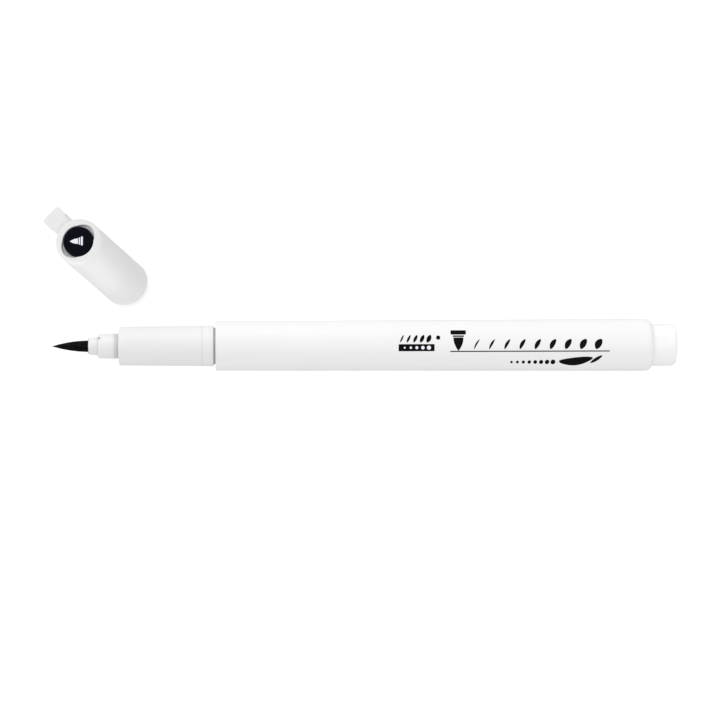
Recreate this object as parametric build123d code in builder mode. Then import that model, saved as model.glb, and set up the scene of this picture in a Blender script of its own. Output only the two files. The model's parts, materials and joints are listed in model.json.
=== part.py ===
"""Brush pen with its cap taken off and stood beside it. Millimetres, +Z up.

The pen lies along X with its bristles towards -X. The origin is on the pen's axis, at the middle of the
ring that the cap's mouth grips. The cap stands on its mouth and leans on the tip of its clip.
"""
from math import cos, radians, sin
import os

from build123d import *

os.makedirs("parts", exist_ok=True)

# ---- the pen's driving dimensions: distances along X, and radii ----
fit_gap = 0.01                     # radial gap of pieces that are pushed together
overlap = 0.1                      # how far a feature is sunk into the piece that carries it
edge_tolerance = 0.02              # how near an edge must be to the place where it is looked for

seat_ring_r = 4.355                # the ring that the cap's mouth grips
seat_ring_length = 2.4
groove_width = 0.45                # the dark groove between the ring and the barrel
groove_r = 3.95
ring_end = seat_ring_length / 2
barrel_front = ring_end + groove_width
ring_start = -ring_end

barrel_length = 94.3
barrel_front_r = 5.35
barrel_rear_r = 5.68
barrel_bore_r = 4.8
barrel_front_edge = 0.12
barrel_shoulder_length = 1.25      # the rounded rear shoulder, along X
barrel_shoulder_drop = 0.62
barrel_rear = barrel_front + barrel_length

rib_count = 6                      # ribs inside the barrel that centre the reservoir
rib_width = 0.6
rib_inner_r = 4.1

tail_r = 4.585                     # the stub that stands out of the barrel
tail_length = 5.4
tail_edge = 0.8
tail_wall = 1.0
tail_dimple_r = 1.3                # the moulding dimple in the plug's end
tail_dimple_depth = 0.25
tail_spigot_length = 8.0
tail_step_inset = 0.1              # the spigot ends just inside the barrel's rear
tail_end = barrel_rear + tail_length
tail_blade = 0.8                   # crossed blades inside the plug that press on the reservoir
tail_blade_span = 6.8
tail_blade_length = 3.8            # how far they stand out of the plug

spigot_length = 9.0                # the part of the coupling ring that is pressed into the barrel
ring_bore_r = 3.75

section_length = 17.92             # the grip, ahead of the coupling ring
section_front_r = 4.16
section_rear_r = 4.33
section_front_edge = 0.35
section_bore_r = 3.1
section_wall = 2.3                 # the thick front wall that holds the nose collar
seam_gap = 0.02                    # the fine seam between the section and the coupling ring
seam_edge = 0.05
section_front = ring_start - section_length

collar_length = 4.48               # the visible part of the nose collar
collar_front_r = 2.6
collar_rear_r = 2.75
collar_bore_r = 1.9
collar_waist_length = 0.9          # a shallow waist against the section's face
collar_waist_r = 2.65
collar_flange_r = 3.05
collar_flange_length = 1.0
collar_front_edge = 0.15
collar_front = section_front - collar_length
vent_width = 0.8                   # the air notch in the collar's front edge
vent_depth = 0.5
vent_turn = 47.0                   # degrees round the axis from +Y towards +Z

holder_gap = 0.1                   # the dark line between the holder and the collar
holder_length = 2.02
holder_front_r = 1.75
holder_rear_r = 2.0
holder_shank_length = 7.4
holder_front_edge = 0.2
holder_rear = collar_front - holder_gap
holder_front = holder_rear - holder_length

bristle_length = 7.95              # what stands out of the holder
bristle_r = 1.22
bristle_belly = 0.76               # radius half way along, as a part of bristle_r
bristle_bore_r = 1.27
bristle_inset = 0.22               # how far the bristles start inside the holder
root_length = 4.0
root_socket_r = 0.5
root_socket_length = 2.0
root_gap = 0.05                    # between the root and the step of the holder's bore

feed_r = 0.98
feed_nose_r = 0.48
feed_bore_r = 1.0
feed_in_core = 6.0
feed_end_gap = 0.1                 # the wick stops just short of what it points at
sleeve_r = 1.5
sleeve_front_gap = 1.0             # between the collar's flange and the sleeve
sleeve_overhang = 0.2              # how far the sleeve stands out of the spigot
sleeve_front = section_front + section_wall + collar_flange_length + sleeve_front_gap
sleeve_rear = barrel_front + spigot_length + sleeve_overhang
sleeve_flange_length = 1.0
sleeve_flange_front_inset = 1.0
sleeve_flange_rear_inset = 3.0
sleeve_notch_count = 3
sleeve_notch_depth = 1.6
sleeve_notch_width = 1.2

core_r = 3.9
film_thickness = 0.14
core_gap = 0.6                     # between the spigot and the core
core_start = barrel_front + spigot_length + core_gap
core_end = barrel_rear - tail_spigot_length - tail_blade_length

# ---- the cap's driving dimensions: in its own frame, up from its mouth ----
cap_length = 39.1
cap_mouth_r = 4.98
cap_top_r = 4.78
cap_mouth_edge = 0.25
cap_top_edge = 0.85
cap_bore_r = 4.42
cap_bore_length = 20.9
cap_upper_bore_r = 4.1
cap_end_wall = 1.2
dish_r = 3.25                      # the round recess that holds the end button
dish_floor_r = 3.15
dish_depth = 1.5
vent_pocket_r = 3.85               # the oval pocket that leaves a crescent on each side of the button
vent_pocket_narrow_r = 2.9
vent_pocket_depth = 1.1
button_r = 3.02
button_edge = 0.25
button_stem_r = 1.6
liner_wall_top = 0.65
liner_bore_r = 2.95
liner_length = 15.2
liner_lead_in = 0.3                # the chamfer that guides the collar in
dish_floor = cap_length - dish_depth
liner_top = dish_floor - cap_end_wall
liner_start = liner_top - liner_length

cap_lean = 15.5                    # degrees from upright, towards the clip
cap_turn = 135.6                   # degrees from +X round to the way the cap leans
cap_stand_x = -18.02               # where the mouth's centre stands
cap_stand_y = 13.78

# ---- the clip: radii and heights in the cap's frame ----
clip_width = 4.4
clip_neck_width = 3.5
clip_outer_r = 9.15
clip_tip_outer_r = 8.5
clip_thickness = 1.2
clip_crown = 0.55                  # how far the outer face arches
clip_bend_r = 1.0
clip_inner_bend_r = 0.8
neck_start = 5.95                  # where the narrow neck starts to widen
neck_end = 6.4
knuckle_r = 0.6                    # the clip's root, which turns in the cap's boss
knuckle_gap = 0.05
knuckle_out = 5.42
knuckle_up = 37.55
boss_reach = 5.5
boss_sink = 0.5                    # how far the boss is sunk into the shell
clip_bead_up = 5.2                 # the bead that grips a pocket's edge
clip_bead_r = 1.0
clip_bead_gap = 0.28
clip_web_sink = 0.5                # how far the bead's web is sunk into the arm
clip_foot_r = 0.4
floor_clearance = 0.03


def revolve_profile(points, axis=Axis.X):
    """Close a profile through its corner points and turn it once round the axis."""
    with BuildSketch(Plane.XY) as profile:
        with BuildLine():
            Polyline(*points, close=True)
        make_face()
    revolve(profile.sketch, axis=axis)


def outer_edges_at(part, x, radius):
    """The round edges of a turned piece at one place along X and one radius."""
    circles = part.edges().filter_by(GeomType.CIRCLE)
    near = circles.filter_by(lambda e: abs(e.center().X - x) < edge_tolerance)
    return near.filter_by(lambda e: abs(e.radius - radius) < edge_tolerance)


def save(part, name):
    """Name a finished piece and write it."""
    part.label = name
    export_step(part, f"parts/{name}.step")


# ---- barrel: a tapered tube with ribs inside ----
with BuildPart() as barrel:
    shoulder_start = barrel_rear - barrel_shoulder_length
    shoulder_r = barrel_rear_r - barrel_shoulder_drop
    with BuildSketch(Plane.XY):
        with BuildLine():
            Line((barrel_front, barrel_bore_r), (barrel_front, barrel_front_r))
            Line((barrel_front, barrel_front_r), (shoulder_start, barrel_rear_r))
            TangentArc((shoulder_start, barrel_rear_r), (barrel_rear, shoulder_r), tangent=(1, 0))
            Line((barrel_rear, shoulder_r), (barrel_rear, barrel_bore_r))
            Line((barrel_rear, barrel_bore_r), (barrel_front, barrel_bore_r))
        make_face()
    revolve(axis=Axis.X)
    fillet(outer_edges_at(barrel.part, barrel_front, barrel_front_r), barrel_front_edge)
    rib_height = barrel_bore_r - rib_inner_r + overlap
    with BuildSketch(Plane.YZ.offset(core_start)):
        with PolarLocations(rib_inner_r + rib_height / 2, rib_count):
            Rectangle(rib_height, rib_width)
    extrude(amount=core_end - core_start)
save(barrel.part, "barrel")

# ---- tail plug: a closed cup whose spigot is pressed into the barrel ----
with BuildPart() as tail_plug:
    spigot_start = barrel_rear - tail_spigot_length
    spigot_inner_r = tail_r - tail_wall
    revolve_profile([
        (spigot_start, spigot_inner_r),
        (spigot_start, barrel_bore_r - fit_gap),
        (barrel_rear - tail_step_inset, barrel_bore_r - fit_gap),
        (barrel_rear - tail_step_inset, tail_r),
        (tail_end, tail_r),
        (tail_end, tail_dimple_r),
        (tail_end - tail_dimple_depth, tail_dimple_r - tail_dimple_depth),
        (tail_end - tail_dimple_depth, 0),
        (tail_end - tail_wall, 0),
        (tail_end - tail_wall, spigot_inner_r),
    ])
    fillet(outer_edges_at(tail_plug.part, tail_end, tail_r), tail_edge)
    with BuildSketch(Plane.YZ.offset(core_end + fit_gap)):
        Rectangle(tail_blade_span, tail_blade)
        Rectangle(tail_blade, tail_blade_span)
    extrude(amount=spigot_start - core_end)
    with BuildSketch(Plane.YZ.offset(spigot_start)):
        Rectangle(2 * spigot_inner_r + overlap, tail_blade)
        Rectangle(tail_blade, 2 * spigot_inner_r + overlap)
    extrude(amount=tail_end - tail_wall - spigot_start)
save(tail_plug.part, "tail_plug")

# ---- coupling ring: the cap's seat, a groove, and a spigot in the barrel ----
with BuildPart() as coupling_ring:
    spigot_end = barrel_front + spigot_length
    revolve_profile([
        (ring_start, ring_bore_r),
        (ring_start, seat_ring_r),
        (ring_end, seat_ring_r),
        (ring_end, groove_r),
        (barrel_front, groove_r),
        (barrel_front, barrel_bore_r - fit_gap),
        (spigot_end, barrel_bore_r - fit_gap),
        (spigot_end, ring_bore_r),
    ])
    chamfer(outer_edges_at(coupling_ring.part, ring_start, seat_ring_r), seam_edge)
    chamfer(outer_edges_at(coupling_ring.part, ring_end, seat_ring_r), seam_edge)
save(coupling_ring.part, "coupling_ring")

# ---- section: the grip, with a shank that passes through the coupling ring ----
with BuildPart() as section:
    section_rear = ring_start - seam_gap
    shank_r = ring_bore_r - fit_gap
    collar_hole_r = collar_rear_r + fit_gap
    revolve_profile([
        (section_front, collar_hole_r),
        (section_front, section_front_r),
        (section_rear, section_rear_r),
        (section_rear, shank_r),
        (barrel_front + spigot_length, shank_r),
        (barrel_front + spigot_length, section_bore_r),
        (section_front + section_wall, section_bore_r),
        (section_front + section_wall, collar_hole_r),
    ])
    fillet(outer_edges_at(section.part, section_front, section_front_r), section_front_edge)
    chamfer(outer_edges_at(section.part, section_rear, section_rear_r), seam_edge)
save(section.part, "section")

# ---- nose collar: a stepped bush, with an air notch in its front edge ----
with BuildPart() as nose_collar:
    wall_back = section_front + section_wall + fit_gap
    flange_back = wall_back + collar_flange_length
    revolve_profile([
        (collar_front, collar_bore_r),
        (collar_front, collar_front_r),
        (section_front - collar_waist_length, collar_rear_r),
        (section_front - collar_waist_length, collar_waist_r),
        (section_front - seam_gap, collar_waist_r),
        (section_front - seam_gap, collar_rear_r),
        (wall_back, collar_rear_r),
        (wall_back, collar_flange_r),
        (flange_back, collar_flange_r),
        (flange_back, collar_bore_r),
    ])
    fillet(outer_edges_at(nose_collar.part, collar_front, collar_front_r), collar_front_edge)
    vent_way = (0, cos(radians(vent_turn)), sin(radians(vent_turn)))
    notch_plane = Plane(origin=(collar_front, 0, 0), x_dir=vent_way, z_dir=(1, 0, 0))
    with BuildSketch(notch_plane):
        with Locations((collar_front_r, 0)):
            Rectangle(2 * (collar_front_r - collar_bore_r + overlap), vent_width)
    extrude(amount=vent_depth, mode=Mode.SUBTRACT)
save(nose_collar.part, "nose_collar")

# ---- nib holder: the ferrule, with a stepped bore for the bristle root and the feed ----
with BuildPart() as nib_holder:
    root_end = holder_front + bristle_inset + root_length
    holder_shank_r = collar_bore_r - fit_gap
    holder_end = holder_rear + holder_shank_length
    revolve_profile([
        (holder_front, bristle_bore_r),
        (holder_front, holder_front_r),
        (holder_rear, holder_rear_r),
        (holder_rear, holder_shank_r),
        (holder_end, holder_shank_r),
        (holder_end, feed_bore_r),
        (root_end + root_gap, feed_bore_r),
        (root_end + root_gap, bristle_bore_r),
    ])
    fillet(outer_edges_at(nib_holder.part, holder_front, holder_front_r), holder_front_edge)
save(nib_holder.part, "nib_holder")

# ---- bristle root: the fused plug of bristles, with a socket for the feed's nose ----
with BuildPart() as bristle_root:
    root_start = holder_front + bristle_inset
    root_r = bristle_bore_r - fit_gap
    revolve_profile([
        (root_start, 0),
        (root_start, root_r),
        (root_end, root_r),
        (root_end, root_socket_r),
        (root_end - root_socket_length, root_socket_r),
        (root_end - root_socket_length, 0),
    ])
save(bristle_root.part, "bristle_root")

# ---- brush tip: a slightly bellied cone ----
with BuildPart() as brush_tip:
    apex_x = holder_front - bristle_length
    base_x = root_start - seam_gap
    with BuildSketch(Plane.XY):
        with BuildLine():
            Line((apex_x, 0), (base_x, 0))
            Line((base_x, 0), (base_x, bristle_r))
            Line((base_x, bristle_r), (holder_front, bristle_r))
            Spline((holder_front, bristle_r),
                   (holder_front - bristle_length / 2, bristle_r * bristle_belly),
                   (apex_x, 0))
        make_face()
    revolve(axis=Axis.X)
save(brush_tip.part, "brush_tip")

# ---- feed rod: the wick, with a thin nose in the bristle root ----
with BuildPart() as feed_rod:
    nose_start = root_end - root_socket_length + feed_end_gap
    feed_end = core_start + feed_in_core
    revolve_profile([
        (nose_start, 0),
        (nose_start, feed_nose_r),
        (root_end + feed_end_gap, feed_nose_r),
        (root_end + feed_end_gap, feed_r),
        (feed_end, feed_r),
        (feed_end, 0),
    ])
save(feed_rod.part, "feed_rod")

# ---- feed sleeve: a tube with two notched flanges that leave an air path ----
with BuildPart() as feed_sleeve:
    revolve_profile([
        (sleeve_front, feed_bore_r),
        (sleeve_front, sleeve_r),
        (sleeve_rear, sleeve_r),
        (sleeve_rear, feed_bore_r),
    ])
    for flange_x in (sleeve_front + sleeve_flange_front_inset, sleeve_rear - sleeve_flange_rear_inset):
        with BuildSketch(Plane.YZ.offset(flange_x)):
            Circle(section_bore_r - fit_gap)
            Circle(sleeve_r - overlap, mode=Mode.SUBTRACT)
            with PolarLocations(section_bore_r, sleeve_notch_count):
                Rectangle(sleeve_notch_depth, sleeve_notch_width, mode=Mode.SUBTRACT)
        extrude(amount=sleeve_flange_length)
save(feed_sleeve.part, "feed_sleeve")

# ---- reservoir: the fibre core, pierced by the feed, and the film round it ----
with BuildPart() as reservoir_core:
    revolve_profile([
        (core_start, feed_bore_r),
        (core_start, core_r),
        (core_end, core_r),
        (core_end, 0),
        (feed_end + feed_end_gap, 0),
        (feed_end + feed_end_gap, feed_bore_r),
    ])
save(reservoir_core.part, "reservoir_core")

with BuildPart() as reservoir_film:
    film_inner_r = core_r + fit_gap
    revolve_profile([
        (core_start, film_inner_r),
        (core_start, film_inner_r + film_thickness),
        (core_end, film_inner_r + film_thickness),
        (core_end, film_inner_r),
    ])
save(reservoir_film.part, "reservoir_film")

# ---- the cap's own frame: it stands on the lowest point of its rounded rim ----
lean = radians(cap_lean)
turn = radians(cap_turn)
rim_drop = (cap_mouth_r - cap_mouth_edge) * sin(lean) + cap_mouth_edge * (1 - cos(lean))
cap_foot = Vector(cap_stand_x, cap_stand_y, rim_drop - barrel_rear_r)
clip_way = Vector(cos(turn) * cos(lean), sin(turn) * cos(lean), -sin(lean))
cap_way = Vector(cos(turn) * sin(lean), sin(turn) * sin(lean), cos(lean))
cap_side = Plane(origin=cap_foot, x_dir=clip_way, z_dir=clip_way.cross(cap_way))
cap_cross = Plane(origin=cap_foot, x_dir=clip_way, z_dir=cap_way)
cap_axis = Axis(cap_foot, cap_way)


def revolve_cap_profile(points):
    """Turn a profile of (radius, height) corners once round the cap's axis."""
    with BuildSketch(cap_side) as profile:
        with BuildLine():
            Polyline(*points, close=True)
        make_face()
    revolve(profile.sketch, axis=cap_axis)


def cap_edges_at(part, height, radius):
    """The round edges of a piece of the cap at one height and one radius."""
    circles = part.edges().filter_by(GeomType.CIRCLE)
    level = circles.filter_by(lambda e: abs((e.arc_center - cap_foot).dot(cap_way) - height) < edge_tolerance)
    return level.filter_by(lambda e: abs(e.radius - radius) < edge_tolerance)


# ---- cap shell: a tapered tube, a recessed end, and the boss that the clip turns in ----
with BuildPart() as cap_shell:
    revolve_cap_profile([
        (cap_bore_r, 0),
        (cap_mouth_r, 0),
        (cap_top_r, cap_length),
        (dish_r, cap_length),
        (dish_floor_r, dish_floor),
        (button_stem_r + fit_gap, dish_floor),
        (button_stem_r + fit_gap, liner_top),
        (cap_upper_bore_r, liner_top),
        (cap_upper_bore_r, cap_bore_length),
        (cap_bore_r, cap_bore_length),
    ])
    fillet(cap_edges_at(cap_shell.part, cap_length, cap_top_r), cap_top_edge)
    fillet(cap_edges_at(cap_shell.part, 0, cap_mouth_r), cap_mouth_edge)
    with BuildSketch(cap_cross.offset(cap_length)):
        Ellipse(vent_pocket_narrow_r, vent_pocket_r)
    extrude(amount=-vent_pocket_depth, mode=Mode.SUBTRACT)
    boss_root = cap_top_r - boss_sink
    with BuildSketch(cap_side):
        with Locations(((boss_root + boss_reach) / 2, knuckle_up)):
            Rectangle(boss_reach - boss_root, 2 * knuckle_r)
    extrude(amount=clip_neck_width / 2, both=True)
    with BuildSketch(cap_side):
        with Locations((knuckle_out, knuckle_up)):
            Circle(knuckle_r + knuckle_gap)
    extrude(amount=clip_neck_width, both=True, mode=Mode.SUBTRACT)
save(cap_shell.part, "cap_shell")

# ---- inner cap: a cup that closes over the nose collar ----
with BuildPart() as inner_cap:
    revolve_cap_profile([
        (liner_bore_r, liner_start),
        (cap_upper_bore_r - fit_gap, liner_start),
        (cap_upper_bore_r - fit_gap, liner_top - fit_gap),
        (0, liner_top - fit_gap),
        (0, liner_top - liner_wall_top),
        (liner_bore_r, liner_top - liner_wall_top),
    ])
    chamfer(cap_edges_at(inner_cap.part, liner_start, liner_bore_r), liner_lead_in)
save(inner_cap.part, "inner_cap")

# ---- end button: a disc with a stem through the cap's end wall ----
with BuildPart() as end_button:
    revolve_cap_profile([
        (0, liner_top),
        (button_stem_r, liner_top),
        (button_stem_r, dish_floor + fit_gap),
        (button_r, dish_floor + fit_gap),
        (button_r, cap_length),
        (0, cap_length),
    ])
    fillet(cap_edges_at(end_button.part, cap_length, button_r), button_edge)
save(end_button.part, "end_button")

# ---- clip: a knuckle, a root plate, and an arm that ends in a bead and a foot ----
foot_out = clip_tip_outer_r - clip_foot_r
foot_up = (foot_out * sin(lean) + clip_foot_r + floor_clearance - rim_drop) / cos(lean)
plate_top = knuckle_up + knuckle_r
plate_under = knuckle_up - knuckle_r
arm_inner_r = clip_outer_r - clip_thickness
tip_inner_r = clip_tip_outer_r - clip_thickness
bead_surface_r = cap_mouth_r - (cap_mouth_r - cap_top_r) * clip_bead_up / cap_length
bead_out = bead_surface_r + clip_bead_gap + clip_bead_r
web_end = tip_inner_r + clip_web_sink

with BuildPart() as clip:
    with BuildSketch(cap_side):
        with BuildLine():
            Polyline(
                (knuckle_out, plate_under),
                (arm_inner_r, plate_under),
                (tip_inner_r, foot_up - clip_foot_r),
                (clip_tip_outer_r, foot_up - clip_foot_r),
                (clip_outer_r, plate_top),
                (knuckle_out, plate_top),
                close=True,
            )
        make_face()
        with Locations((bead_out, clip_bead_up)):
            Circle(clip_bead_r)
        with Locations(((bead_out + web_end) / 2, clip_bead_up)):
            Rectangle(web_end - bead_out, 2 * clip_bead_r)
    extrude(amount=clip_width / 2, both=True)
    across = clip.edges().filter_by(Axis(cap_foot, cap_side.z_dir))
    outer_corner = cap_side.from_local_coords((clip_outer_r, plate_top))
    inner_corner = cap_side.from_local_coords((arm_inner_r, plate_under))
    foot_corner = cap_side.from_local_coords((clip_tip_outer_r, foot_up - clip_foot_r))
    heel_corner = cap_side.from_local_coords((tip_inner_r, foot_up - clip_foot_r))
    fillet(across.sort_by_distance(outer_corner)[0], clip_bend_r)
    fillet(across.sort_by_distance(inner_corner)[0], clip_inner_bend_r)
    fillet(across.sort_by_distance(foot_corner)[0], clip_foot_r)
    fillet(across.sort_by_distance(heel_corner)[0], clip_foot_r)
    with BuildSketch(cap_cross):
        with BuildLine():
            half = clip_width / 2
            neck = clip_neck_width / 2
            shoulder_out = clip_outer_r - clip_crown
            Polyline((neck_start, neck), (knuckle_out - knuckle_r, neck), (knuckle_out - knuckle_r, -neck),
                     (neck_start, -neck))
            Spline((neck_start, -neck), (neck_end, -half), tangents=[(1, 0), (1, 0)])
            Line((neck_end, -half), (shoulder_out, -half))
            ThreePointArc((shoulder_out, -half), (clip_outer_r, 0), (shoulder_out, half))
            Line((shoulder_out, half), (neck_end, half))
            Spline((neck_end, half), (neck_start, neck), tangents=[(-1, 0), (-1, 0)])
        make_face()
    extrude(amount=cap_length, mode=Mode.INTERSECT)
    with BuildSketch(cap_side):
        with Locations((knuckle_out, knuckle_up)):
            Circle(knuckle_r)
    extrude(amount=neck, both=True)
save(clip.part, "clip")
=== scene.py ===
"""Looks of the brush pen: a white pen beside its standing cap, on a pale floor in soft light. Metres."""
import json
import math
import random

import bmesh
import bpy
from mathutils import Matrix, Quaternion, Vector


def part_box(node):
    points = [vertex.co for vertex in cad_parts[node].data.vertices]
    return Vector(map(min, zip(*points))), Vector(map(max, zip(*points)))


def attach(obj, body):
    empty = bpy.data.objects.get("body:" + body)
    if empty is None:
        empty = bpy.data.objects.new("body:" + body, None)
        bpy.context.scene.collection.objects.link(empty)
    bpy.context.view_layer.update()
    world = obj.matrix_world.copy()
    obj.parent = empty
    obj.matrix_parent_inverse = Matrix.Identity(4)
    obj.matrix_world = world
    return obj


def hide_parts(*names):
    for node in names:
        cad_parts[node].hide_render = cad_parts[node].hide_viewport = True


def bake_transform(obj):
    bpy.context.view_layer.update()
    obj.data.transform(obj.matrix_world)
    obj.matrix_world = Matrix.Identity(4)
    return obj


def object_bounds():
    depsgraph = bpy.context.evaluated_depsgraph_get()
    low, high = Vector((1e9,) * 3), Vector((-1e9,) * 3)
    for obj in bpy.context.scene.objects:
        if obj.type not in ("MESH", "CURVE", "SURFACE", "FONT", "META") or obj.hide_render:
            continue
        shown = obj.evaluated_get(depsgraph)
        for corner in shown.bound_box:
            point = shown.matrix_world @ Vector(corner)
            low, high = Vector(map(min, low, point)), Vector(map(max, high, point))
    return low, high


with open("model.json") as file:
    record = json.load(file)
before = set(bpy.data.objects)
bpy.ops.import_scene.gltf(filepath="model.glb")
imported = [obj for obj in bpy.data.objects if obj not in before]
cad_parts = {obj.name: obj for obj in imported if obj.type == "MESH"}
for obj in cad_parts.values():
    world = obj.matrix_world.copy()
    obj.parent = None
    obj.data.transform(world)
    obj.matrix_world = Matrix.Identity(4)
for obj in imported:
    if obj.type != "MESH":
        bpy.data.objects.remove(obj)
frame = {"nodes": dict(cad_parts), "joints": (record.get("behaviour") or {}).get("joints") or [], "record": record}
cad_low, cad_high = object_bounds()

MM = 0.001
scene = bpy.context.scene
nodes = frame["nodes"]
joints = {j["name"]: j for j in frame["joints"]}
mounts = {m["name"]: m for m in frame["record"]["mounts"]}

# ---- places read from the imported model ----
barrel_low, barrel_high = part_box("barrel")
bristle_low, bristle_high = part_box("brush_tip")
holder_low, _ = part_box("nib_holder")
section_low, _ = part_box("section")
ring_low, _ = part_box("coupling_ring")
groove_start = -ring_low.x         # the band that the cap grips is centred on X = 0
pen_middle = Vector(((cad_low.x + cad_high.x) / 2, 0, 0))
cap_way = Vector(joints["cap_pull"]["axis"]).normalized()
cap_axis_point = Vector(mounts["cap_mouth"]["pos_m"])


# ---- shader helpers ----
def fill(tree, made, inputs):
    """Set or link a node's inputs."""
    for name, value in inputs.items():
        if isinstance(value, bpy.types.NodeSocket):
            tree.links.new(value, made.inputs[name])
        else:
            made.inputs[name].default_value = value


def node(tree, kind, inputs=None, **settings):
    """A shader node with its settings, and its inputs set or linked."""
    made = tree.nodes.new(kind)
    for name, value in settings.items():
        setattr(made, name, value)
    fill(tree, made, inputs or {})
    return made


def new_material(name):
    """An empty node material, with its tree, its surface shader and the object's own coordinates."""
    material = bpy.data.materials.new(name)
    material.use_nodes = True
    tree = material.node_tree
    shader = tree.nodes["Principled BSDF"]
    place = tree.nodes.new("ShaderNodeTexCoord").outputs["Object"]
    return material, tree, shader, place


def noise(tree, place, scale, detail=3):
    """Cloudy noise; the larger the scale, the finer its features."""
    inputs = {"Vector": place, "Scale": scale, "Detail": detail}
    return node(tree, "ShaderNodeTexNoise", inputs).outputs["Fac"]


def stretched(tree, place, scale):
    """A place scaled along each axis, which draws out the pattern that uses it."""
    return node(tree, "ShaderNodeMapping", {"Vector": place, "Scale": scale}).outputs["Vector"]


def along_pen(tree, place):
    """How far along X a place is."""
    return node(tree, "ShaderNodeSeparateXYZ", {"Vector": place}).outputs["X"]


def worked_out(tree, operation, first, second):
    """One operation on two values."""
    return node(tree, "ShaderNodeMath", {0: first, 1: second}, operation=operation).outputs[0]


def spread(tree, value, low, high, from_low=0.3, from_high=0.7):
    """A value stretched from one range to another, and held inside it."""
    return node(tree, "ShaderNodeMapRange", {
        "Value": value, "From Min": from_low, "From Max": from_high, "To Min": low, "To Max": high,
    }).outputs["Result"]


def mixed_colour(tree, factor, low, high):
    """A colour between low and high, which are fixed colours or linked ones, by a factor."""
    factor_socket, low_socket, high_socket, result_socket = 0, 6, 7, 2
    low, high = (c if isinstance(c, bpy.types.NodeSocket) else (*c, 1) for c in (low, high))
    inputs = {factor_socket: factor, low_socket: low, high_socket: high}
    return node(tree, "ShaderNodeMix", inputs, data_type="RGBA").outputs[result_socket]


def lighter(colour, gain, lift):
    """A colour made lighter, but no lighter than white."""
    return tuple(min(1, c * gain + lift) for c in colour)


def add_bump(tree, shader, height, strength, depth):
    """Fine relief on a surface."""
    bump = node(tree, "ShaderNodeBump", {"Height": height, "Strength": strength, "Distance": depth})
    tree.links.new(bump.outputs["Normal"], shader.inputs["Normal"])


# ---- materials ----
# painted shade: the grey mixed into the plastic where a groove or corner falls into shade
PAINTED_SHADE_GREY = (0.22, 0.21, 0.21)
STAIN_BLACK = (0.05, 0.05, 0.055)
LENGTHWAYS = (0.08, 1, 1)          # draws moulding marks out along the pen


def moulded_plastic(name, colour, roughness, flow=(1, 1, 1), stain_or_shade=None):
    """Injection-moulded plastic: cloudy tint, flow lines, fine orange peel and uneven gloss."""
    material, tree, shader, place = new_material(name)
    cloud = noise(tree, place, scale=90)
    lines = noise(tree, stretched(tree, place, flow), scale=420, detail=2)
    peel = noise(tree, place, scale=1500, detail=2)
    streaks = spread(tree, worked_out(tree, "MULTIPLY", cloud, lines), 0, 1, from_low=0.12, from_high=0.4)
    darker = tuple(c * 0.985 for c in colour)
    tint = mixed_colour(tree, streaks, darker, colour)
    # either a real ink stain or painted shade in a groove or corner
    if stain_or_shade:
        tint = stain_or_shade(tree, place, tint)
    uneven = spread(tree, lines, roughness - 0.03, roughness + 0.04)
    fill(tree, shader, {"Base Color": tint, "Roughness": uneven, "IOR": 1.49})
    add_bump(tree, shader, worked_out(tree, "ADD", peel, lines), strength=0.5, depth=0.004 * MM)
    return material


def ink_stain(tree, place, tint):
    """Ink that has crept on to the rim of the nib holder's mouth."""
    wander = noise(tree, place, scale=2600)
    reach = spread(tree, wander, 0.02 * MM, 0.16 * MM)
    depth = worked_out(tree, "SUBTRACT", along_pen(tree, place), holder_low.x)
    inked = worked_out(tree, "LESS_THAN", depth, reach)
    return mixed_colour(tree, inked, tint, STAIN_BLACK)


def painted_groove_shade(unshaded_x, darkest_x, strength):
    """Painted shade in a groove or corner: grey that stands in for the shade there, none at the first place along
    X and darkest at the second.
    """
    def stain_or_shade(tree, place, tint):
        # painted shade: grey that grows along X from the first place to the second, broken up by noise
        ramp = spread(tree, along_pen(tree, place), 0, strength, unshaded_x, darkest_x)
        uneven = spread(tree, noise(tree, place, scale=900), 0.8, 1)
        return mixed_colour(tree, worked_out(tree, "MULTIPLY", ramp, uneven), tint, PAINTED_SHADE_GREY)
    return stain_or_shade


def dark_plastic(name, colour):
    """Dark moulded plastic with faint dust and fine swirl marks."""
    material, tree, shader, place = new_material(name)
    dust = noise(tree, place, scale=3000, detail=4)
    swirl = noise(tree, place, scale=700, detail=2)
    dusty = spread(tree, dust, 0, 1, from_low=0.55, from_high=0.8)
    fill(tree, shader, {
        "Base Color": mixed_colour(tree, dusty, colour, lighter(colour, 1.5, 0.0015)),
        "Roughness": spread(tree, swirl, 0.31, 0.44),
        "Specular IOR Level": 0.05,
    })
    add_bump(tree, shader, dust, strength=0.4, depth=0.006 * MM)
    return material


def printed_ink(name, colour):
    """Pad-printed ink: nearly flat, with a slightly mottled film."""
    material, tree, shader, place = new_material(name)
    mottle = noise(tree, place, scale=5200)
    fill(tree, shader, {
        "Base Color": mixed_colour(tree, spread(tree, mottle, 0, 1), colour, lighter(colour, 1.25, 0.002)),
        "Roughness": spread(tree, mottle, 0.34, 0.5),
        "Specular IOR Level": 0.05,
    })
    return material


def fibre(name, colour, stretch):
    """Drawn or bonded fibre that runs one way, dark with ink."""
    material, tree, shader, place = new_material(name)
    strands = noise(tree, stretched(tree, place, stretch), scale=5000, detail=4)
    fill(tree, shader, {
        "Base Color": mixed_colour(tree, spread(tree, strands, 0, 1), colour, lighter(colour, 2.2, 0.01)),
        "Roughness": 0.7,
    })
    add_bump(tree, shader, strands, strength=0.9, depth=0.03 * MM)
    return material


def clear_film(name):
    """Thin wrinkled film."""
    material, tree, shader, place = new_material(name)
    folds = noise(tree, place, scale=300, detail=4)
    fill(tree, shader, {
        "Base Color": mixed_colour(tree, spread(tree, folds, 0, 1), (0.7, 0.7, 0.72), (0.82, 0.82, 0.84)),
        "Roughness": spread(tree, folds, 0.08, 0.2),
    })
    add_bump(tree, shader, folds, strength=0.7, depth=0.08 * MM)
    return material


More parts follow.
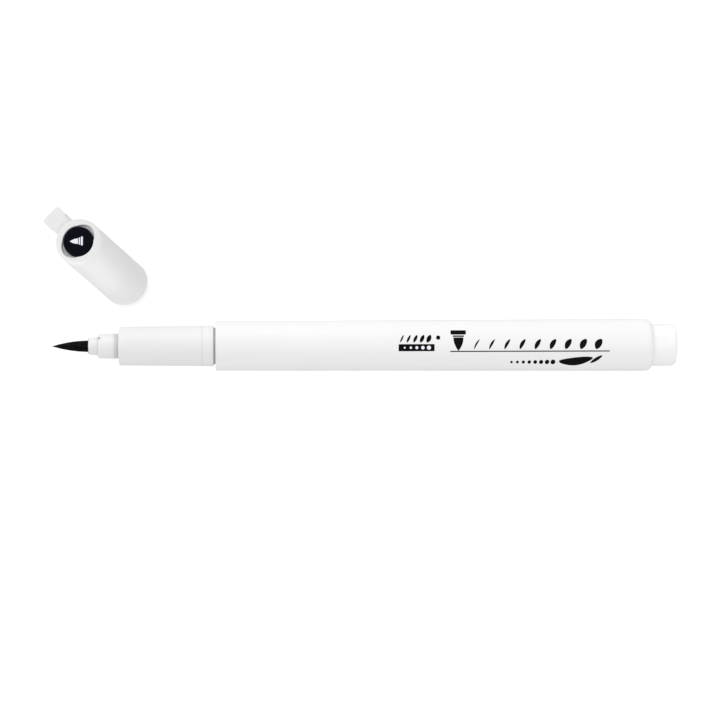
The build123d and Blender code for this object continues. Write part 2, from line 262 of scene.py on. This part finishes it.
def bristle_material():
    """Black nylon bristles, wet with ink, each with its own shade."""
    material, tree, shader, place = new_material("bristles")
    strands = noise(tree, stretched(tree, place, (0.06, 1, 1)), scale=9000)
    shade = spread(tree, strands, 0, 1, from_low=0.45, from_high=0.8)
    fill(tree, shader, {
        "Base Color": mixed_colour(tree, shade, (0.0003, 0.0003, 0.0004), (0.02, 0.02, 0.022)),
        "Roughness": spread(tree, strands, 0.3, 0.46),
        "Specular IOR Level": 0.04,
    })
    return material


# ---- finishes of the CAD nodes ----
finishes = {
    "barrel": moulded_plastic("barrel_white", (0.82, 0.82, 0.82), roughness=0.32, flow=LENGTHWAYS),
    "tail_plug": moulded_plastic("tail_white", (0.86, 0.86, 0.855), roughness=0.33),
    # painted shade: the ring darkens towards the barrel's lip, and the collar towards the section's face
    "coupling_ring": moulded_plastic("ring_white", (0.8, 0.785, 0.79), roughness=0.33,
                                     stain_or_shade=painted_groove_shade(groove_start, barrel_low.x, strength=0.9)),
    "section": moulded_plastic("grip_white", (0.79, 0.78, 0.785), roughness=0.33, flow=LENGTHWAYS),
    "nose_collar": moulded_plastic("collar_white", (0.79, 0.775, 0.777), roughness=0.38,
                                   stain_or_shade=painted_groove_shade(section_low.x - 1.3 * MM, section_low.x, strength=0.6)),
    "nib_holder": moulded_plastic("holder_white", (0.745, 0.75, 0.765), roughness=0.36, stain_or_shade=ink_stain),
    "bristle_root": fibre("bristle_root", (0.01, 0.01, 0.012), stretch=(0.1, 1, 1)),
    "feed_rod": fibre("feed_fibre", (0.02, 0.02, 0.025), stretch=(0.1, 1, 1)),
    "feed_sleeve": moulded_plastic("sleeve_plastic", (0.7, 0.7, 0.69), roughness=0.42),
    "reservoir_core": fibre("wadding", (0.025, 0.025, 0.03), stretch=(0.05, 1, 1)),
    "reservoir_film": clear_film("film"),
    "cap_shell": moulded_plastic("cap_white", (0.82, 0.82, 0.82), roughness=0.33),
    "inner_cap": moulded_plastic("liner_white", (0.75, 0.75, 0.74), roughness=0.45),
    "end_button": dark_plastic("button_black", (0.001, 0.0018, 0.006)),
    "clip": moulded_plastic("clip_white", (0.83, 0.83, 0.83), roughness=0.33),
}
for name, material in finishes.items():
    nodes[name].data.materials.clear()
    nodes[name].data.materials.append(material)


# ---- mesh helpers ----
def link_mesh(name, builder, material, body, smooth=True):
    """Turn a bmesh into a piece, which rides on a body where one is named."""
    bmesh.ops.recalc_face_normals(builder, faces=builder.faces)
    mesh = bpy.data.meshes.new(name)
    builder.to_mesh(mesh)
    builder.free()
    mesh.polygons.foreach_set("use_smooth", [smooth] * len(mesh.polygons))
    mesh.materials.append(material)
    piece = bpy.data.objects.new(name, mesh)
    scene.collection.objects.link(piece)
    if body:
        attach(piece, body)
    return piece


def join_rings(builder, near, far):
    """Faces between two rings of the same number of corners."""
    for k in range(len(near)):
        following = (k + 1) % len(near)
        builder.faces.new((near[k], near[following], far[following], far[k]))


# ---- bristles ----
BRISTLE_SEED = 7
BRISTLE_TAPER = 2.1                # the power by which the bundle narrows: blunt at first, then pointed
CORE_LENGTH_SHARE = 0.985
CORE_RADIUS_SHARE = 0.98
HAIR_RADIUS = 0.045 * MM
HAIR_STEPS = 16
HAIR_TAPER = 0.85                  # the part of its radius that a hair loses by its end
HAIR_SWIRL = 0.12                  # radians
HAIR_JITTER = 0.3                  # how far a hair strays from its place in the ring, in hair spacings
HAIR_INSET = (0.7, 1.2)            # how deep it lies, at least and at most, in hair radii
HAIR_LAYERS = (                    # share of the bundle's radius, hairs, shortest and longest hair
    (1.0, 96, 0.6, 0.99),
    (0.9, 80, 0.82, 1.0),
)


def bristle_profile(t):
    """The bundle's radius at share t of its length from the holder, as a part of its root radius."""
    return max(0.0, 1 - t ** BRISTLE_TAPER)


def add_hair(builder, path, radii, sides=5):
    """A thin tapered hair along a path of points."""
    turns = [2 * math.pi * k / sides for k in range(sides)]
    rings = [[builder.verts.new(point + Vector((0, math.cos(a), math.sin(a))) * radius) for a in turns]
             for point, radius in zip(path, radii)]
    for near, far in zip(rings, rings[1:]):
        join_rings(builder, near, far)
    builder.faces.new(rings[0][::-1])
    builder.faces.new(rings[-1])


def add_core(builder, root_x, length, radius, steps=26, sides=40):
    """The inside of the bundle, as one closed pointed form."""
    turns = [2 * math.pi * k / sides for k in range(sides)]
    rings = []
    for i in range(steps):
        t = i / steps
        r = radius * bristle_profile(t)
        rings.append([builder.verts.new((root_x - length * t, r * math.cos(a), r * math.sin(a)))
                      for a in turns])
    point = builder.verts.new((root_x - length, 0, 0))
    for near, far in zip(rings, rings[1:]):
        join_rings(builder, near, far)
    for k in range(sides):
        builder.faces.new((rings[-1][k], rings[-1][(k + 1) % sides], point))
    builder.faces.new(rings[0][::-1])


def make_bristles():
    """A bundle of fine hairs over a solid core, in place of the CAD cone."""
    rng = random.Random(BRISTLE_SEED)
    root_x = bristle_high.x
    length = root_x - bristle_low.x
    root_radius = (bristle_high.y - bristle_low.y) / 2
    builder = bmesh.new()
    add_core(builder, root_x, length * CORE_LENGTH_SHARE, root_radius * CORE_RADIUS_SHARE)
    for layer, count, shortest, longest in HAIR_LAYERS:
        for i in range(count):
            turn = 2 * math.pi * (i + rng.uniform(-HAIR_JITTER, HAIR_JITTER)) / count
            share = rng.uniform(shortest, longest)
            swirl = rng.uniform(-HAIR_SWIRL, HAIR_SWIRL)
            inset = HAIR_RADIUS * rng.uniform(*HAIR_INSET)
            path, radii = [], []
            for k in range(HAIR_STEPS + 1):
                t = share * k / HAIR_STEPS
                r = max(0.0, root_radius * layer * bristle_profile(t) - inset)
                a = turn + swirl * t
                path.append(Vector((root_x - length * t, r * math.cos(a), r * math.sin(a))))
                radii.append(HAIR_RADIUS * (1 - HAIR_TAPER * k / HAIR_STEPS))
            add_hair(builder, path, radii)
    piece = link_mesh("bristles", builder, bristle_material(), None)
    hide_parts("brush_tip")
    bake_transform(piece)


make_bristles()


# ---- outlines of the printed marks, in mm ----
def stroke_outline(start, end, width, start_share=0.15, end_share=0.15, bow=0.0, steps=12):
    """A brush stroke from start to end: it swells to its full width, and may bow to one side."""
    fullness = 0.7
    (x0, y0), (x1, y1) = start, end
    length = math.hypot(x1 - x0, y1 - y0)
    along = ((x1 - x0) / length, (y1 - y0) / length)
    side = (-along[1], along[0])
    left, right = [], []
    for i in range(steps + 1):
        t = i / steps
        swell = math.sin(math.pi * t) ** fullness
        ends = start_share * (1 - t) + end_share * t
        half = width / 2 * (ends + (1 - ends) * swell)
        aside = bow * math.sin(math.pi * t)
        x = x0 + along[0] * length * t + side[0] * aside
        y = y0 + along[1] * length * t + side[1] * aside
        left.append((x + side[0] * half, y + side[1] * half))
        right.append((x - side[0] * half, y - side[1] * half))
    return left + right[::-1]


def dot_outline(x, y, radius, steps=20):
    """A round dot."""
    turns = [2 * math.pi * i / steps for i in range(steps)]
    return [(x + radius * math.cos(a), y + radius * math.sin(a)) for a in turns]


def bar_outline(x0, y0, x1, y1, corner, steps=4):
    """A bar with rounded corners."""
    centres = [(x1 - corner, y1 - corner, 0), (x0 + corner, y1 - corner, 90),
               (x0 + corner, y0 + corner, 180), (x1 - corner, y0 + corner, 270)]
    points = []
    for cx, cy, turn in centres:
        for i in range(steps + 1):
            a = math.radians(turn + 90 * i / steps)
            points.append((cx + corner * math.cos(a), cy + corner * math.sin(a)))
    return points


def brush_outline(x, tip_y, root_y, half_width, steps=12):
    """A pointed brush tip, seen from the side, with its point at tip_y."""
    fullness, waist = 0.9, 0.12
    left, right = [], []
    for i in range(steps + 1):
        t = i / steps
        half = half_width * math.sin(math.pi / 2 * t) ** fullness * (1 - waist * t)
        y = tip_y + (root_y - tip_y) * t
        left.append((x - half, y))
        right.append((x + half, y))
    return left[1:] + right[::-1]


def growing_dots(x, y, pitch, radius, growth, count):
    """A row of dots, each larger than the one before."""
    return [dot_outline(x + pitch * i, y, radius + growth * i) for i in range(count)]


def growing_dabs(start, end, pitch, width, growth, count, bow=0.0):
    """A row of leaning brush dabs, each wider than the one before."""
    return [stroke_outline((start[0] + pitch * i, start[1]), (end[0] + pitch * i, end[1]),
                           width + growth * i, bow=bow) for i in range(count)]


def add_flat_faces(builder, outlines):
    """A flat face in the z = 0 plane for each outline of (x, y) points."""
    for points in outlines:
        builder.faces.new([builder.verts.new((x * MM, y * MM, 0)) for x, y in points])


def thicken(builder):
    """Copy all the faces and wall them in; gives the copy's corners, which are to be raised."""
    grown = bmesh.ops.extrude_face_region(builder, geom=builder.faces[:])
    return {part for part in grown["geom"] if isinstance(part, bmesh.types.BMVert)}


# ---- marks printed on the barrel: generic strokes and dots ----
PRINT_LIFT = 0.02 * MM             # how far the ink's face stands out from the barrel
OVERPRINT_LIFT = 0.035 * MM        # the same, for ink printed over other ink
PRINT_FILM = 0.03 * MM             # the film's thickness, part of it sunk in the barrel
PRINT_SLICE = 0.3 * MM             # the strips in which a mark is bent round the barrel
black_ink = printed_ink("printed_black", (0.001, 0.001, 0.0015))
white_ink = printed_ink("printed_white", (0.75, 0.75, 0.88))


def radius_near(name, x, reach):
    """The widest radius of a CAD node's corners near one place along the pen."""
    near = [v.co for v in nodes[name].data.vertices if abs(v.co.x - x) < reach]
    return max(math.hypot(p.y, p.z) for p in near)


barrel_front_radius = radius_near("barrel", barrel_low.x, reach=0.5 * MM)
barrel_rear_radius = radius_near("barrel", barrel_high.x, reach=2 * MM)


def barrel_radius(x):
    """The tapered barrel's outer radius at one place along the pen."""
    share = (x - barrel_low.x) / (barrel_high.x - barrel_low.x)
    return barrel_front_radius + (barrel_rear_radius - barrel_front_radius) * share


def print_on_barrel(name, outlines, ink, lift=PRINT_LIFT):
    """Lay flat outlines on the barrel as a thin film. X is from its front, and y from its centre line."""
    builder = bmesh.new()
    add_flat_faces(builder, outlines)
    heights = [y * MM for points in outlines for _, y in points]
    lowest = min(heights)
    for i in range(1, int((max(heights) - lowest) / PRINT_SLICE) + 1):
        geometry = builder.verts[:] + builder.edges[:] + builder.faces[:]
        cut_at = (0, lowest + i * PRINT_SLICE, 0)
        bmesh.ops.bisect_plane(builder, geom=geometry, plane_co=cut_at, plane_no=(0, 1, 0))
    bmesh.ops.triangulate(builder, faces=builder.faces)
    raised = thicken(builder)
    for v in builder.verts:
        x = barrel_low.x + v.co.x
        radius = barrel_radius(x) + lift - (0 if v in raised else PRINT_FILM)
        turn = math.asin(v.co.y / barrel_radius(x))
        v.co = (x, radius * math.sin(turn), radius * math.cos(turn))
    link_mesh(name, builder, ink, "pen", smooth=False)


block = growing_dabs((39.5, 0.62), (40.3, 2.2), pitch=1.45, width=0.34, growth=0.15, count=5)
block.append(dot_outline(47.7, 1.65, radius=0.45))
block.append(bar_outline(39.2, -1.25, 46.9, 0.25, corner=0.1))
print_on_barrel("print_block", block, black_ink)

block_dots = growing_dots(40.5, -0.5, pitch=1.3, radius=0.2, growth=0.06, count=5)
print_on_barrel("print_block_dots", block_dots, white_ink, lift=OVERPRINT_LIFT)

brush_icon = [
    bar_outline(50.4, 2.3, 53.7, 3.2, corner=0.15),
    bar_outline(50.85, 1.8, 53.25, 2.1, corner=0.1),
    brush_outline(52.05, -1.2, 1.65, half_width=1.2),
]
print_on_barrel("print_brush_icon", brush_icon, black_ink)

weights = growing_dabs((55.4, -0.85), (56.6, 1.25), pitch=3.29, width=0.34, growth=0.14, count=9, bow=0.12)
print_on_barrel("print_weights", weights, black_ink)

rule = [bar_outline(50.3, -1.43, 84.7, -1.21, corner=0.06)]
print_on_barrel("print_rule", rule, black_ink)

dots = growing_dots(63.6, -3.65, pitch=1.28, radius=0.26, growth=0.035, count=8)
print_on_barrel("print_dots", dots, black_ink)

bold_stroke = [
    stroke_outline((73.9, -3.55), (81.1, -2.8), 1.7, start_share=0.2, end_share=0.1, bow=-0.35, steps=24),
    stroke_outline((80.7, -3.85), (83.1, -2.3), 0.7, start_share=0.2, end_share=0.2),
]
print_on_barrel("print_bold_stroke", bold_stroke, black_ink)


# ---- the white mark on the end button ----
def make_button_mark():
    """A small brush-tip pictogram, lying flat on the button's face."""
    lift, sunk = 0.02 * MM, 0.01 * MM
    off_centre = 0.3 * MM
    button = nodes["end_button"].data.vertices
    top = max((v.co - cap_axis_point).dot(cap_way) for v in button)
    across = Vector((1, 0, 0))
    across = (across - cap_way * across.dot(cap_way)).normalized()
    upward = cap_way.cross(across)
    centre = cap_axis_point + cap_way * top - across * off_centre
    shapes = [
        [(y, x) for x, y in brush_outline(0, -1.35, 0.35, half_width=0.62)],
        bar_outline(0.5, -0.72, 0.78, 0.72, corner=0.08),
        bar_outline(0.94, -0.92, 1.35, 0.92, corner=0.1),
    ]
    builder = bmesh.new()
    add_flat_faces(builder, shapes)
    raised = thicken(builder)
    for v in builder.verts:
        height = lift if v in raised else -sunk
        v.co = centre + across * v.co.x + upward * v.co.y + cap_way * height
    return link_mesh("button_mark", builder, white_ink, "cap", smooth=False)


button_mark = make_button_mark()


# ---- floor, light and camera ----
HORIZON = 0.9                      # the surrounding light's strength, level with the pen
GROUND = 0.5                       # its strength under the table's edge, which only reflections see
GROUND_EDGE = -0.15                # the Z of the way in which it has fallen to that
SKY_SLOPE = (-0.12, 0.08, 0.06)    # how its strength changes along X, Y and Z
SKY_LEAST = 0.02                   # its least strength anywhere


def make_floor():
    """A wide pale table top."""
    size = 12.0
    cuts = 24
    builder = bmesh.new()
    bmesh.ops.create_grid(builder, x_segments=cuts, y_segments=cuts, size=size / 2)
    mesh = bpy.data.meshes.new("floor")
    builder.to_mesh(mesh)
    builder.free()
    floor = bpy.data.objects.new("floor", mesh)
    floor.location = (pen_middle.x, 0, cad_low.z)
    scene.collection.objects.link(floor)
    material, tree, shader, place = new_material("floor_pale")
    cloud = noise(tree, place, scale=6, detail=2)
    fill(tree, shader, {
        "Base Color": mixed_colour(tree, spread(tree, cloud, 0, 1), (0.93, 0.93, 0.93), (0.95, 0.95, 0.95)),
        "Roughness": 0.9,
        "Specular IOR Level": 0.1,
        "Emission Color": (1, 1, 1, 1),
        "Emission Strength": 0.3,
    })
    mesh.materials.append(material)
    floor.visible_glossy = False


def make_world():
    """An even surround, brighter on one side and darker below the table's edge."""
    world = bpy.data.worlds.new("surround")
    world.use_nodes = True
    tree = world.node_tree
    way = node(tree, "ShaderNodeTexCoord").outputs["Generated"]
    height = node(tree, "ShaderNodeSeparateXYZ", {"Vector": way}).outputs["Z"]
    level = spread(tree, height, GROUND, HORIZON, from_low=GROUND_EDGE, from_high=0)
    side = node(tree, "ShaderNodeVectorMath", {0: way, 1: SKY_SLOPE}, operation="DOT_PRODUCT")
    tilted = worked_out(tree, "ADD", level, side.outputs["Value"])
    strength = worked_out(tree, "MAXIMUM", tilted, SKY_LEAST)
    fill(tree, tree.nodes["Background"], {"Color": (1, 1, 1, 1), "Strength": strength})
    scene.world = world


def looking(way):
    """The turn that points a light or the camera along a way, with +Y at the top of its view."""
    ahead = way.normalized()
    right = ahead.cross(Vector((0, 1, 0))).normalized()
    return Matrix((right, right.cross(ahead), -ahead)).transposed().to_quaternion()


def middle(piece):
    """The middle of a piece's box."""
    corners = [Vector(corner) for corner in piece.bound_box]
    return sum(corners, Vector()) / len(corners)


def add_light(name, place, power, size, lit):
    """A soft square light that shines on some pieces only, and is aimed at the first of them."""
    data = bpy.data.lights.new(name, "AREA")
    data.energy = power
    data.shape = "SQUARE"
    data.size = size
    light = bpy.data.objects.new(name, data)
    light.location = place
    light.rotation_mode = "QUATERNION"
    light.rotation_quaternion = looking(middle(lit[0]) - Vector(place))
    light.visible_camera = False
    scene.collection.objects.link(light)
    group = bpy.data.collections.new(name + "_lit")
    for piece in lit:
        group.objects.link(piece)
    light.light_linking.receiver_collection = group
    light.light_linking.blocker_collection = group


def make_lights():
    """A large soft key and a weaker light over the tail for the pen, and a key of its own for the cap."""
    barrel = nodes["barrel"]
    cap = [nodes[name] for name in ("cap_shell", "inner_cap", "end_button", "clip")] + [button_mark]
    meshes = [piece for piece in scene.objects if piece.type == "MESH" and piece.name != "floor"]
    pen = [barrel] + [piece for piece in meshes if piece not in cap and piece != barrel]
    add_light("pen_key", place=(-0.18, 0.4, 0.2), power=0.55, size=0.35, lit=pen)
    add_light("tail_top", place=(0.17, 0, 0.2), power=0.055, size=0.2, lit=pen)
    add_light("cap_key", place=(-0.06, -0.28, 0.14), power=0.2, size=0.2, lit=cap)


def make_camera():
    """A long lens above the pen, aimed a little to one side of where it stands."""
    place = Vector((9.17 * MM, -0.97 * MM, 508 * MM))
    aim = Vector((32.8 * MM, -3.13 * MM, 0))
    roll = math.radians(-0.16)
    data = bpy.data.cameras.new("camera")
    data.sensor_width = 36
    data.lens = 117.5
    data.clip_start = 0.01
    data.clip_end = 10
    camera = bpy.data.objects.new("camera", data)
    camera.location = place
    camera.rotation_mode = "QUATERNION"
    camera.rotation_quaternion = looking(aim - place) @ Quaternion((0, 0, 1), roll)
    scene.collection.objects.link(camera)
    scene.camera = camera


scene.view_settings.view_transform = "Standard"
make_floor()
make_world()
make_lights()
make_camera()
